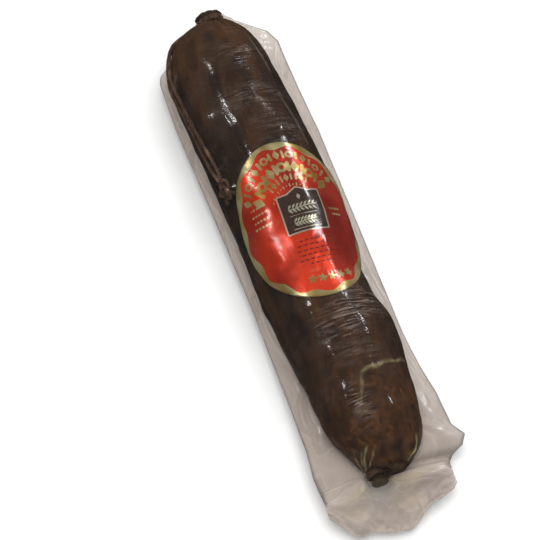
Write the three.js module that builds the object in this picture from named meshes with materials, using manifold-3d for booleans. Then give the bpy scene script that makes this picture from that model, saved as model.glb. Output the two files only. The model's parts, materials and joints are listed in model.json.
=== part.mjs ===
// A dry-smoked chitterling sausage sealed under vacuum in a clear pouch, lying on its flattened side.
// Millimetres, +Z up, X along the sausage. The hanging string is at the -X end, called the head, and the
// pouch's crumpled skirt stands out past the +X end, called the tail. The origin is the middle of the
// bounding box's underside.
import * as THREE from "three";
import { mergeVertices } from "three/addons/utils/BufferGeometryUtils.js";
import Module from "manifold-3d";

const solids = await Module();
solids.setup();

// ---- Driving dimensions ----------------------------------------------------------------------------
const bodyLength = 264; // between the two tied necks
const bodyWidth = 58; // across the fullest place
const bodyHalfHeight = 26.5; // of the round section, before the underside is pressed flat
const axisHeight = 24.6; // of the section's centre above the table
const lumpHeight = 0.7; // how far the filling bulges the casing

// The necks, where string closes the casing, and the stubs of gathered casing past them.
const head = { neckRadius: 5.2, neckLength: 3.4, stubRadius: 7.2, stubLength: 3.8, height: 22, lean: 0.5 };
const tail = { neckRadius: 3.2, neckLength: 2.8, stubRadius: 4.8, stubLength: 2.2, height: 18, lean: -4.5 };

const twineRadius = 0.75; // of the hanging string and of the tail's tie
const tieTurns = 2;
const knotSize = { along: 4.2, across: 3.2, thick: 2.1 }; // half sizes

const labelLength = 89; // along the sausage
const labelWidth = 70; // measured round the casing
const labelThickness = 0.4;
const labelGap = 0.6; // over the casing's flats
const labelPlace = 0.514; // of its middle, as a share of the body's length from the head
const labelTurn = 82; // degrees round the casing from the +Y side
const labelSpring = 2.4; // how far the label's +Y edge stands off the casing

const filmThickness = 0.5;
const gap = 0.35; // between pieces that touch
const slack = 0.6; // more room over the label and the strings, whose edges cut the film's corners
const endRoom = 0.5; // more room where the film turns down over the blunt ends
const webGap = 0.5; // between the pouch's two webs, which are sealed along their edges
const seamAngle = -22.5; // degrees round the casing where the two films meet
const flangeDroop = 5.5; // from the seam's root to the flange's outer edge
const skirtLength = 26; // of the pouch past the tail's stub
const skirtEndHeight = 5; // of the skirt's end above the table
const skirtWave = 1.6; // height of the crumples in the skirt
const headMargin = 2; // of the pouch past the head's stub

const angleStep = 15; // degrees between the points of a section

// ---- Lines through a few points --------------------------------------------------------------------
const TURN = Math.PI / 180;

// The value at a place on a line through rows of [place, value], smooth at each row.
function along(rows, place) {
  const last = rows.length - 1;
  if (place <= rows[0][0]) return rows[0][1];
  if (place >= rows[last][0]) return rows[last][1];
  const i = rows.findIndex((row) => row[0] > place) - 1;
  const slope = (k) => {
    const [a, b] = [rows[Math.max(k - 1, 0)], rows[Math.min(k + 1, last)]];
    return (b[1] - a[1]) / (b[0] - a[0]);
  };
  const [p, q] = [rows[i], rows[i + 1]];
  const span = q[0] - p[0];
  const t = (place - p[0]) / span;
  const [t2, t3] = [t * t, t * t * t];
  return (
    (2 * t3 - 3 * t2 + 1) * p[1] +
    (t3 - 2 * t2 + t) * span * slope(i) +
    (3 * t2 - 2 * t3) * q[1] +
    (t3 - t2) * span * slope(i + 1)
  );
}

// The same with straight lines between the rows, for an outline with corners.
function straight(rows, place) {
  const next = rows.findIndex((row, i) => i > 0 && row[0] >= place);
  const [p, q] = next > 0 ? [rows[next - 1], rows[next]] : rows.slice(-2);
  const t = THREE.MathUtils.clamp((place - p[0]) / (q[0] - p[0]), 0, 1);
  return p[1] + t * (q[1] - p[1]);
}

// 1 up to a share of its reach, then easing to 0 at the whole of it.
const plateau = (distance, flat, reach) => 1 - THREE.MathUtils.smoothstep(distance, flat, reach);

// ---- The sausage's shape ---------------------------------------------------------------------------
// X is counted from the head's neck here; the whole group is centred at the end.
const headTip = -head.neckLength - head.stubLength;
const tailTip = bodyLength + tail.neckLength + tail.stubLength;
const halfWidth = bodyWidth / 2;

// Half the width as a share of the fullest, against the share of the body's length from the head.
const fullness = [
  [0, head.neckRadius / halfWidth], [0.005, 0.3], [0.015, 0.47], [0.034, 0.64], [0.055, 0.765],
  [0.083, 0.87], [0.115, 0.93], [0.175, 0.96], [0.25, 0.985], [0.32, 1], [0.38, 0.995], [0.46, 0.97],
  [0.585, 0.935], [0.66, 0.93], [0.735, 0.97], [0.803, 0.92], [0.867, 0.87], [0.92, 0.795],
  [0.955, 0.7], [0.975, 0.61], [0.989, 0.5], [0.996, 0.37], [1, tail.neckRadius / halfWidth],
];
// How far the middle of each section lies to the side, in millimetres.
const lean = [
  [0, head.lean], [0.015, -2.5], [0.034, -4.8], [0.055, -4.8], [0.115, -5.3], [0.25, -3.4], [0.377, -1.1],
  [0.45, -0.6], [0.6, -1.7], [0.664, -0.3], [0.727, 1.9], [0.79, 3], [0.86, 2.6], [0.92, 2.8],
  [0.952, 4.4], [0.985, 4], [0.996, 1.5], [1, tail.lean],
];
// How high the middle of each section lies, as a share of the axis height.
const rise = [
  [0, head.height / axisHeight], [0.05, 1], [0.92, 1], [0.97, 0.94], [0.99, 0.84], [1, tail.height / axisHeight],
];

// A neck and the stub past it: the place past the body's end, and the radius there.
const neckAndStub = ({ neckRadius, neckLength, stubRadius, stubLength }) => [
  [0, neckRadius], [neckLength, neckRadius], [neckLength + 0.25 * stubLength, stubRadius],
  [neckLength + 0.7 * stubLength, stubRadius * 0.95], [neckLength + stubLength, stubRadius * 0.6],
];
const headEnd = neckAndStub(head);
const tailEnd = neckAndStub(tail);

// The section at x: its middle, half its width and half its height.
function section(x) {
  const share = THREE.MathUtils.clamp(x / bodyLength, 0, 1);
  const middle = { y: along(lean, share), z: along(rise, share) * axisHeight };
  if (x <= 0 || x >= bodyLength) {
    const r = x <= 0 ? straight(headEnd, -x) : straight(tailEnd, x - bodyLength);
    return { ...middle, w: r, h: r * 0.85 };
  }
  const full = along(fullness, share);
  const roundness = THREE.MathUtils.lerp(0.85, bodyHalfHeight / halfWidth, Math.min(full * 1.5, 1));
  return { ...middle, w: full * halfWidth, h: full * halfWidth * roundness };
}

// Bulges of the filling, which die away at the ends.
function lump(x, turn, full) {
  const wave = Math.sin(x / 15 + 1.6 * Math.sin(turn)) * 0.6 + Math.sin(x / 9.5 + 2 * turn + 1) * 0.4;
  return wave * lumpHeight * THREE.MathUtils.smoothstep(full, 0.6, 0.95);
}

// The point of the casing at x and an angle round it. The film bridges the necks at least radius wide.
function casingPoint(x, degrees, radius = 0) {
  const { y, z, w, h } = section(x);
  const turn = degrees * TURN;
  const swell = 1 + lump(x, turn, w / halfWidth) / w;
  const [wide, high] = [Math.max(w * swell, radius), Math.max(h * swell, radius)];
  return new THREE.Vector3(x, y + wide * Math.cos(turn), z + high * Math.sin(turn));
}

// The same point moved out by lift, within the section. Where the casing turns down to an end the move
// is longer, so that the gap is still lift. The underside is pressed flat against the table.
function skin(x, degrees, lift, radius = 0) {
  const at = (dx, da) => casingPoint(x + dx, degrees + da, radius);
  const lengthwise = at(0.8, 0).sub(at(-0.8, 0));
  const round = at(0, 1).sub(at(0, -1));
  const out = round.cross(lengthwise).normalize();
  const steepness = Math.max(Math.hypot(out.y, out.z), 0.45);
  out.setX(0).normalize();
  const point = at(0, 0).addScaledVector(out, lift / steepness);
  point.z = Math.max(point.z, filmThickness + gap - lift);
  return point;
}

// The places along X where a section is drawn.
const bodyStations = [
  ...headEnd.slice(1).map(([past]) => -past),
  ...fullness.map(([share]) => share * bodyLength),
  ...[0.145, 0.21, 0.285, 0.36, 0.41, 0.5, 0.54, 0.63, 0.705, 0.77, 0.835].map((share) => share * bodyLength),
  ...tailEnd.slice(1).map(([past]) => bodyLength + past),
].sort((a, b) => a - b);

// ---- Solids from grids of points -------------------------------------------------------------------
// rows is a list of rows of points, all as long. Each row closes on itself, and both ends are capped.
function capped(rows) {
  const n = rows[0].length;
  const points = rows.flat();
  const faces = [];
  for (let i = 0; i + 1 < rows.length; i++)
    for (let j = 0; j < n; j++) {
      const [a, b] = [i * n + j, i * n + ((j + 1) % n)];
      faces.push(a, b, b + n, a, b + n, a + n);
    }
  [0, rows.length - 1].forEach((i) => {
    const middle = rows[i].reduce((sum, p) => sum.add(p), new THREE.Vector3()).divideScalar(n);
    const centre = points.push(middle) - 1;
    for (let j = 0; j < n; j++) {
      const [a, b] = [i * n + j, i * n + ((j + 1) % n)];
      faces.push(...(i ? [centre, a, b] : [centre, b, a]));
    }
  });
  return geometryOf(points, faces);
}

function geometryOf(points, faces) {
  const geometry = new THREE.BufferGeometry().setFromPoints(points).setIndex(faces);
  geometry.computeVertexNormals();
  return geometry;
}

// A sheet: one grid of points for each side, and a rim that joins them. top faces the way its rows turn.
function sheet(top, under) {
  const [rows, n] = [top.length, top[0].length];
  const points = [...top.flat(), ...under.flat()];
  const below = rows * n;
  const faces = [];
  const quad = (a, b, c, d) => faces.push(a, b, c, a, c, d);
  for (let i = 0; i + 1 < rows; i++)
    for (let j = 0; j + 1 < n; j++) {
      const a = i * n + j;
      quad(a, a + 1, a + n + 1, a + n);
      quad(below + a, below + a + n, below + a + n + 1, below + a + 1);
    }
  for (let i = 0; i + 1 < rows; i++)
    [i * n, i * n + n - 1].forEach((a, far) => {
      const [p, q] = far ? [a + n, a] : [a, a + n];
      quad(p, q, below + q, below + p);
    });
  for (let j = 0; j + 1 < n; j++)
    [j, (rows - 1) * n + j].forEach((a, far) => {
      const [p, q] = far ? [a, a + 1] : [a + 1, a];
      quad(p, q, below + q, below + p);
    });
  return geometryOf(points, faces);
}

function toSolid(geometry) {
  const bare = geometry.clone();
  bare.deleteAttribute("normal");
  bare.deleteAttribute("uv");
  const merged = mergeVertices(bare, 1e-4);
  return new solids.Manifold(
    new solids.Mesh({
      numProp: 3,
      vertProperties: new Float32Array(merged.attributes.position.array),
      triVerts: new Uint32Array(merged.index.array),
    }),
  );
}

function toGeometry(solid) {
  const mesh = solid.getMesh();
  const geometry = new THREE.BufferGeometry();
  geometry.setAttribute("position", new THREE.BufferAttribute(new Float32Array(mesh.vertProperties), 3));
  geometry.setIndex(new THREE.BufferAttribute(new Uint32Array(mesh.triVerts), 1));
  geometry.computeVertexNormals();
  return geometry;
}

const joined = (geometries) => toGeometry(geometries.map(toSolid).reduce((a, b) => a.add(b)));

// ---- The sausage -----------------------------------------------------------------------------------
const ringAngles = Array.from({ length: 360 / angleStep }, (_, i) => seamAngle + i * angleStep);

function makeSausage() {
  return capped(bodyStations.map((x) => ringAngles.map((a) => skin(x, a, 0))));
}

// ---- The label -------------------------------------------------------------------------------------
const labelMiddle = labelPlace * bodyLength;
const labelRound = (section(labelMiddle).w + section(labelMiddle).h) / 2;

// Where a place on the flat label lies: x, the angle round the casing, and its share of the way out.
function onLabel(acrossLabel, alongLabel) {
  return {
    x: labelMiddle + alongLabel,
    degrees: labelTurn + acrossLabel / labelRound / TURN,
    out: Math.hypot(alongLabel / (labelLength / 2), acrossLabel / (labelWidth / 2)),
  };
}

// The stiff label springs off the casing towards its +Y edge.
function labelLift(degrees) {
  const edge = labelTurn - labelWidth / 2 / labelRound / TURN;
  return labelSpring * (1 - THREE.MathUtils.smoothstep(degrees, edge, edge + 38));
}

function makeLabel() {
  const [rings, spokes] = [7, 36];
  const side = (lift) => {
    const rows = [];
    for (let i = 0; i <= rings; i++)
      rows.push(
        Array.from({ length: spokes }, (_, j) => {
          const phi = (j / spokes) * 2 * Math.PI;
          const [u, v] = [Math.cos(phi) * (labelLength / 2), Math.sin(phi) * (labelWidth / 2)];
          const place = onLabel((v * i) / rings, (u * i) / rings);
          return skin(place.x, place.degrees, labelGap + lift + labelLift(place.degrees));
        }),
      );
    return rows;
  };
  const [under, top] = [side(0), side(labelThickness)];
  const points = [];
  const centre = [points.push(under[0][0]) - 1, points.push(top[0][0]) - 1];
  const at = (layer, i, j) => 2 + (layer * rings + i - 1) * spokes + (j % spokes);
  [under, top].forEach((rows) => rows.slice(1).forEach((row) => points.push(...row)));
  const faces = [];
  for (let j = 0; j < spokes; j++) {
    faces.push(centre[1], at(1, 1, j + 1), at(1, 1, j), centre[0], at(0, 1, j), at(0, 1, j + 1));
    for (let i = 1; i < rings; i++) {
      const [a, b, c, d] = [at(1, i, j), at(1, i, j + 1), at(1, i + 1, j + 1), at(1, i + 1, j)];
      faces.push(a, b, c, a, c, d);
      const [e, f, g, h] = [at(0, i, j), at(0, i + 1, j), at(0, i + 1, j + 1), at(0, i, j + 1)];
      faces.push(e, f, g, e, g, h);
    }
    const [a, b] = [at(1, rings, j), at(1, rings, j + 1)];
    const [c, d] = [at(0, rings, j + 1), at(0, rings, j)];
    faces.push(a, b, c, a, c, d);
  }
  return geometryOf(points, faces);
}

// ---- The strings -----------------------------------------------------------------------------------
// The two strands lie along the -Y side, from the head's tie to the knot beside the label.
const knotPlace = { x: 0.39 * bodyLength, degrees: 149 };
const strands = [
  [[0.008, 168], [0.02, 168], [0.036, 166], [0.065, 161], [0.12, 156], [0.17, 152], [0.24, 148], [0.33, 145]],
  [[0.008, 184], [0.02, 186], [0.036, 184], [0.065, 179], [0.12, 171], [0.17, 166], [0.24, 161], [0.33, 156]],
].map((rows) => rows.map(([share, degrees]) => ({ x: share * bodyLength, degrees })));

function roundSection(radius, sides) {
  const points = Array.from({ length: sides }, (_, i) => {
    const turn = (i / sides) * 2 * Math.PI;
    return new THREE.Vector2(Math.cos(turn) * radius, Math.sin(turn) * radius);
  });
  return new THREE.Shape(points);
}

function tube(points, radius, steps) {
  const extrudePath = new THREE.CatmullRomCurve3(points);
  return new THREE.ExtrudeGeometry(roundSection(radius, 8), { extrudePath, steps, bevelEnabled: false });
}

// Turns of twine side by side round a neck, each a ring.
const tiePitch = twineRadius * 1.7;
const bandRadius = (end) => end.neckRadius + gap + 2 * twineRadius; // outside the turns
function turnsRound(end, x) {
  const { y, z } = section(x);
  return Array.from({ length: tieTurns }, (_, i) => {
    const ring = new THREE.TorusGeometry(bandRadius(end) - twineRadius, twineRadius, 6, 20);
    ring.rotateY(Math.PI / 2);
    ring.translate(x + (i - (tieTurns - 1) / 2) * tiePitch, y, z);
    return ring;
  });
}
const headTie = -head.neckLength / 2;
const tailTie = bodyLength + tail.neckLength / 2;

function makeHangingString() {
  const on = ({ x, degrees }) => skin(x, degrees, gap + 0.2 + twineRadius);
  const { y, z } = section(headTie);
  const fromTurns = (degrees) => {
    const r = bandRadius(head) - twineRadius;
    return new THREE.Vector3(headTie, y + r * Math.cos(degrees * TURN), z + r * Math.sin(degrees * TURN));
  };
  const pieces = strands.map((strand) => {
    const route = [fromTurns(strand[0].degrees), ...[...strand, knotPlace].map(on)];
    return tube(route, twineRadius, 24);
  });
  const middle = skin(knotPlace.x, knotPlace.degrees, gap + knotSize.thick);
  const outward = skin(knotPlace.x, knotPlace.degrees, 10).sub(skin(knotPlace.x, knotPlace.degrees, 0));
  const knot = new THREE.SphereGeometry(1, 12, 8);
  knot.scale(knotSize.along, knotSize.across, knotSize.thick);
  knot.rotateX(Math.atan2(outward.z, outward.y) - Math.PI / 2);
  knot.translate(middle.x, middle.y, middle.z);
  return joined([...turnsRound(head, headTie), ...pieces, knot]);
}

// ---- The pouch -------------------------------------------------------------------------------------
// How far the film stands off the casing: over the blunt ends, and to clear what lies between them.
function room(x, degrees, above) {
  const fromEnd = Math.min(x, bodyLength - x);
  const ends = gap + endRoom * plateau(fromEnd, 12, 20);
  if (above < 0) return ends;
  const label = onLabel((degrees - labelTurn) * TURN * labelRound, x - labelMiddle);
  const overLabel = labelThickness + labelGap + labelLift(degrees) + slack;
  const offNeck = 1.6 * plateau(Math.abs(x), 2, 6); // the strands leave the turns here
  const overTwine = 2 * twineRadius + gap + slack + offNeck;
  const pastKnot = Math.max(x - knotPlace.x, 0);
  const byStrands = plateau(Math.abs(degrees - 163), 29, 42) * plateau(pastKnot, 6, 14) * plateau(-x, 3, 7);
  const fromKnot = Math.hypot(x - knotPlace.x, (degrees - knotPlace.degrees) * TURN * labelRound);
  return ends + Math.max(
    overLabel * plateau(label.out, 1.3, 1.65),
    overTwine * byStrands,
    (2 * knotSize.thick + gap + slack) * plateau(fromKnot, 12, 20),
  );
}

const pouchStart = headTip - headMargin;

// The pouch's edge seen from above, as Y against X: the +Y side, then the -Y side. The places are for a
// body 264 mm long and stretch with it.
const edges = [
  [
    [pouchStart, 7], [0, 15], [8, 29], [14, 33], [45, 34], [71, 35.5], [175, 36.2], [196, 36.5], [214, 38],
    [231, 40.7], [250, 41.5], [257, 46.3], [262, 43], [264, 37], [tailTip, 33.5],
  ],
  [
    [pouchStart, -4], [0, -8], [4, -18], [9, -26], [14, -33.2], [18, -35], [46, -35.4], [99, -33.4],
    [157, -31.8], [210, -31.6], [240, -32], [255, -33.6], [tailTip, -32.8],
  ],
].map((rows) => rows.map(([x, y]) => [x > 0 && x < tailTip ? (x * bodyLength) / 264 : x, y]));
const [plusCorner, minusCorner] = edges.map((rows) => rows.at(-1)[1]);

// The skirt's ragged end: how much of the skirt's length it keeps, against Y.
const skirtEnd = [
  [minusCorner, 0.3], [-23.5, 0.75], [-19.3, 0.82], [-14, 0.78], [-3.6, 0.92], [5.3, 0.95], [17.6, 0.64],
  [22, 0.6], [31, 0.5], [plusCorner, 0.4],
];

// The skirt's middle surface at a share of its length. It carries on from the casing's end and from the
// flanges beside it, droops to its end and is crumpled.
function skirtPoint(share, flatY, lift) {
  const reach = share * straight(skirtEnd, flatY);
  const { y, z } = section(tailTip);
  const band = filmBand(tailTip);
  const aside = Math.max(Math.abs(flatY - y) - band, 0);
  const side = Math.abs((flatY > y ? plusCorner : minusCorner) - y) - band;
  const root = z - band * Math.sin(-seamAngle * TURN);
  const high = THREE.MathUtils.lerp(root, skirtEndHeight, reach * (2 - reach));
  const low = THREE.MathUtils.lerp(root - flangeDroop, skirtEndHeight, reach);
  const crumple = skirtWave * Math.sin(flatY / 3.7 + share * 2) * Math.sin(flatY / 9 + 4 * share + 1);
  const flatZ = THREE.MathUtils.lerp(high, low, (aside / side) ** 2) + crumple * share;
  return new THREE.Vector3(tailTip + reach * skirtLength, flatY, flatZ + lift);
}

// Both films have the same number of points across, so that they match where they lie together.
const arcPoints = Math.round((180 - 2 * seamAngle) / angleStep);
const flangeShares = [1, 0.5];
const filmBand = (x) => bandRadius(x < bodyLength / 2 ? head : tail) + gap; // round the necks

// Where the flanges start beside the necks, past which the film is flat.
function flatRoots(share) {
  const { y } = section(tailTip);
  const fan = THREE.MathUtils.smoothstep(share, 0, 0.6);
  return [plusCorner, minusCorner].map((corner, i) => {
    const beside = y + (i ? -1 : 1) * filmBand(tailTip);
    return THREE.MathUtils.lerp(beside, THREE.MathUtils.lerp(y, corner, 0.8), fan);
  });
}

// A row of points from the +Y edge to the -Y edge, through both flanges' roots.
function acrossFlat(plus, plusRoot, minusRoot, minus, pointAt) {
  const flange = (root, edge) => flangeShares.map((share) => THREE.MathUtils.lerp(root, edge, share));
  const arc = Array.from({ length: arcPoints + 1 }, (_, i) =>
    THREE.MathUtils.lerp(plusRoot, minusRoot, i / arcPoints),
  );
  return [...flange(plusRoot, plus), ...arc, ...flange(minusRoot, minus).reverse()].map(pointAt);
}

// One film's section over the casing at x, moved out by more from its inner face. above is 1 for the
// upper film, over the top, and -1 for the lower film, underneath.
function overCasing(x, above, more) {
  const seamGap = new THREE.Vector3(0, 0, above * (webGap / 2 + more));
  const [from, to] = [seamAngle, above > 0 ? 180 - seamAngle : -180 - seamAngle];
  const arc = Array.from({ length: arcPoints + 1 }, (_, i) => {
    const degrees = from + ((to - from) * i) / arcPoints;
    if (i % arcPoints) return skin(x, degrees, room(x, degrees, above) + more, filmBand(x));
    return skin(x, degrees, room(x, degrees, -1) + filmThickness, filmBand(x)).add(seamGap);
  });
  const flange = (root, rows, side) => {
    const reach = Math.max(side * (straight(rows, x) - root.y), 1);
    return flangeShares.map((share) => {
      const drop = THREE.MathUtils.lerp(flangeDroop, 1, plateau(x, 0, 14));
      const z = Math.max(root.z - drop * share * share, 2 + seamGap.z);
      return new THREE.Vector3(root.x, root.y + side * reach * share, z);
    });
  };
  return [...flange(arc[0], edges[0], 1), ...arc, ...flange(arc.at(-1), edges[1], -1).reverse()];
}

function makeFilm(above) {
  const faces = [0, filmThickness].map((more) => {
    const lift = above * (webGap / 2 + more);
    const { y, z } = section(headTip);
    const [plus, minus] = [edges[0][0][1], edges[1][0][1]];
    const start = acrossFlat(plus, y + 3, y - 3, minus, (flatY) => new THREE.Vector3(pouchStart, flatY, z + lift));
    const skirt = [0.1, 0.3, 0.55, 0.8, 1].map((share) => {
      const [plusRoot, minusRoot] = flatRoots(share);
      const pointAt = (flatY) => skirtPoint(share, flatY, lift);
      return acrossFlat(plusCorner, plusRoot, minusRoot, minusCorner, pointAt);
    });
    return [start, ...bodyStations.map((x) => overCasing(x, above, more)), ...skirt];
  });
  return above > 0 ? sheet(faces[1], faces[0]) : sheet(faces[0], faces[1]);
}

// ---- The whole -------------------------------------------------------------------------------------
const casing = new THREE.MeshStandardMaterial({ color: 0x35241b, roughness: 0.45, metalness: 0 });
const smokedTwine = new THREE.MeshStandardMaterial({ color: 0x4a3323, roughness: 0.8, metalness: 0 });
const foil = new THREE.MeshStandardMaterial({ color: 0xb52a18, roughness: 0.3, metalness: 0.5 });
const film = new THREE.MeshStandardMaterial({
  color: 0xd8cec6, roughness: 0.15, metalness: 0, transparent: true, opacity: 0.3, side: THREE.DoubleSide,
});

const pieces = {
  sausage: [makeSausage(), casing],
  tail_tie: [joined(turnsRound(tail, tailTie)), smokedTwine],
  hanging_string: [makeHangingString(), smokedTwine],
  label: [makeLabel(), foil],
  upper_film: [makeFilm(1), film],
  lower_film: [makeFilm(-1), film],
};

const pouchedSausage = new THREE.Group();
pouchedSausage.name = "pouched_sausage";
for (const [name, [geometry, material]] of Object.entries(pieces)) {
  const mesh = new THREE.Mesh(geometry, material);
  mesh.name = name;
  pouchedSausage.add(mesh);
}
const box = new THREE.Box3().setFromObject(pouchedSausage, true);
const middle = box.getCenter(new THREE.Vector3());
pouchedSausage.position.set(-middle.x, -middle.y, -box.min.z);

export default pouchedSausage;
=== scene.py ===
import json
import math

import bmesh
import bpy
import numpy as np
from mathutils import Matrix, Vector, noise
from mathutils.bvhtree import BVHTree

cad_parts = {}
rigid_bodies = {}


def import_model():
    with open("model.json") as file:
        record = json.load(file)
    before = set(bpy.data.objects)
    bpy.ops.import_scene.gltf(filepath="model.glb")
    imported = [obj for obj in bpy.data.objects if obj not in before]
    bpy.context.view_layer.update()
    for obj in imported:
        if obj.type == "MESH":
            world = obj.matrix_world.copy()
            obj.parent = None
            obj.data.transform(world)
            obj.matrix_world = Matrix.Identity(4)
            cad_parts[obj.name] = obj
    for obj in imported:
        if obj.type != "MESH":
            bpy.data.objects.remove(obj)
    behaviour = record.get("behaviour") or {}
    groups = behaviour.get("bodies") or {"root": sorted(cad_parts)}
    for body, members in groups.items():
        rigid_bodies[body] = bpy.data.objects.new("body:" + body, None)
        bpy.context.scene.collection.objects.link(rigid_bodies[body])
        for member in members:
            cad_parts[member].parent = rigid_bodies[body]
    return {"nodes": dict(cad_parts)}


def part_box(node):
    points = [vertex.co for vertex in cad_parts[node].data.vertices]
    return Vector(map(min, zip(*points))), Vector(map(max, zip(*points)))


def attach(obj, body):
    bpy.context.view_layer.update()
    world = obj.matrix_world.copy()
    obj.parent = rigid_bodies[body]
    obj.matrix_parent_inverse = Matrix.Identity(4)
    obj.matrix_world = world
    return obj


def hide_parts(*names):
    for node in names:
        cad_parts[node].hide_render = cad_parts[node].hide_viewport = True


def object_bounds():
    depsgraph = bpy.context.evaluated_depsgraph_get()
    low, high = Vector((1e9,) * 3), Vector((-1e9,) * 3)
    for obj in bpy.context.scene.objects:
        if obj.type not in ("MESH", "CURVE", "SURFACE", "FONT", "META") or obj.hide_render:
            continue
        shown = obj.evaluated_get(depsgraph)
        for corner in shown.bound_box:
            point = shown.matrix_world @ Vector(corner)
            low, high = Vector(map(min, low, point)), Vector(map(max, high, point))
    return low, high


# A dry-smoked chitterling sausage sealed in a clear pouch, with a foil label and its hanging string
# under the film. Metres, +Z up, X along the sausage, head and string at -X.
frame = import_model()
cad_low, cad_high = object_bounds()

MM = 0.001
BODY = 264 * MM  # between the two tied necks
HALF_WIDTH = 29 * MM
AXIS_HEIGHT = 24.6 * MM
NECK_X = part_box("sausage")[0].x + 7.2 * MM  # the head's neck, from which places along the body are counted
MODEL_Y = -5.46 * MM  # from the sides' own middle to the frame's
TABLE_Z = cad_low.z


# ---- Places on the sausage ---------------------------------------------------------------------------
def rounded(rows):
    """A table of rows of (place, value), with the steps between them rounded to a smooth line."""
    fine = []
    last = len(rows) - 1
    for i in range(last):
        before, (p, v), (q, w), after = rows[max(i - 1, 0)], rows[i], rows[i + 1], rows[min(i + 2, last)]
        start = (w - before[1]) / (q - before[0]) * (q - p)
        end = (after[1] - v) / (after[0] - p) * (q - p)
        for t in np.linspace(0, 1, 12, endpoint=False):
            t2, t3 = t * t, t ** 3
            value = (2 * t3 - 3 * t2 + 1) * v + (t3 - 2 * t2 + t) * start + (3 * t2 - 2 * t3) * w + (t3 - t2) * end
            fine.append((p + (q - p) * t, value))
    return np.array([*fine, rows[-1]])


# The middle of each section: a share of the body's length, then millimetres to the side.
LEAN = rounded([
    (0, 0.5), (0.015, -2.5), (0.034, -4.8), (0.055, -4.8), (0.115, -5.3), (0.25, -3.4), (0.377, -1.1),
    (0.45, -0.6), (0.6, -1.7), (0.664, -0.3), (0.727, 1.9), (0.79, 3), (0.86, 2.6), (0.92, 2.8),
    (0.952, 4.4), (0.985, 4), (0.996, 1.5), (1, -4.5),
])
# How high it lies, as a share of the axis height, and the half width as a share of the fullest.
RISE = rounded([(0, 0.894), (0.05, 1), (0.92, 1), (0.97, 0.94), (0.99, 0.84), (1, 0.732)])
FULLNESS = rounded([
    (0, 0.18), (0.005, 0.3), (0.015, 0.47), (0.034, 0.64), (0.055, 0.765), (0.083, 0.87), (0.115, 0.93),
    (0.175, 0.96), (0.25, 0.985), (0.32, 1), (0.46, 0.97), (0.66, 0.93), (0.735, 0.97), (0.803, 0.92),
    (0.867, 0.87), (0.92, 0.795), (0.955, 0.7), (0.975, 0.61), (0.989, 0.5), (0.996, 0.37), (1, 0.11),
])


def line(rows, place):
    """The value at a place, or at each of an array of places, on straight lines between the rows."""
    table = np.asarray(rows)
    return np.interp(place, table[:, 0], table[:, 1])


def ease(low, high, value):
    """0 below low, 1 above high and smooth between."""
    t = np.clip((value - low) / (high - low), 0, 1)
    return t * t * (3 - 2 * t)


def axis(x):
    """The middle of the section at x along the body, as (y, z)."""
    share = np.clip(x / BODY, 0, 1)
    return line(LEAN, share) * MM + MODEL_Y, line(RISE, share) * AXIS_HEIGHT


def body_radius(x, turn):
    """How far the smooth body reaches from its axis at x, in a direction given in radians from +Y."""
    full = line(FULLNESS, x / BODY)
    wide = full * HALF_WIDTH
    high = wide * (0.85 + 0.064 * min(full * 1.5, 1))
    return wide * high / math.hypot(high * math.cos(turn), wide * math.sin(turn))


def outward(degrees):
    turn = math.radians(degrees)
    return Vector((0, math.cos(turn), math.sin(turn)))


def on_surface(tree, x, degrees, lift=0.0):
    """The outermost point of a tree's surface at x along the body and an angle round it from +Y."""
    y, z = axis(x)
    middle, out = Vector((NECK_X + x, y, z)), outward(degrees)
    hit, normal, _, _ = tree.ray_cast(middle + out * 0.07, -out, 0.0699)
    if hit is None:
        return middle + out * (4 * MM + lift)
    return hit + normal * lift


def drift(point, scale, seed=0.0):
    """Smooth noise from -1 to 1 whose lumps are about scale across."""
    return noise.noise(point / scale + Vector((seed, seed * 1.7, -seed)))


# ---- Making pieces -----------------------------------------------------------------------------------
def add_piece(name, mesh, material, slot, *nodes):
    piece = bpy.data.objects.new(name, mesh)
    bpy.context.scene.collection.objects.link(piece)
    mesh.materials.clear()
    mesh.materials.append(material)
    for face in mesh.polygons:
        face.use_smooth = True
    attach(piece, "root")
    if nodes:
        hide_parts(*nodes)
    return piece


def finished(obj):
    """The mesh of an object with its modifiers applied, or of a curve. The object goes."""
    if obj.name not in bpy.context.scene.collection.objects:
        bpy.context.scene.collection.objects.link(obj)
    graph = bpy.context.evaluated_depsgraph_get()
    mesh = bpy.data.meshes.new_from_object(obj.evaluated_get(graph))
    bpy.data.objects.remove(obj)
    return mesh


def to_mesh(bm, name):
    mesh = bpy.data.meshes.new(name)
    bm.to_mesh(mesh)
    bm.free()
    return mesh


def tree_of(*meshes):
    points, faces = [], []
    for mesh in meshes:
        start = len(points)
        points += [v.co.copy() for v in mesh.vertices]
        faces += [[start + i for i in face.vertices] for face in mesh.polygons]
    return BVHTree.FromPolygons(points, faces)


def set_values(mesh, name, values):
    mesh.attributes.new(name, "FLOAT", "POINT").data.foreach_set("value", np.asarray(values, np.float32))


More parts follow.
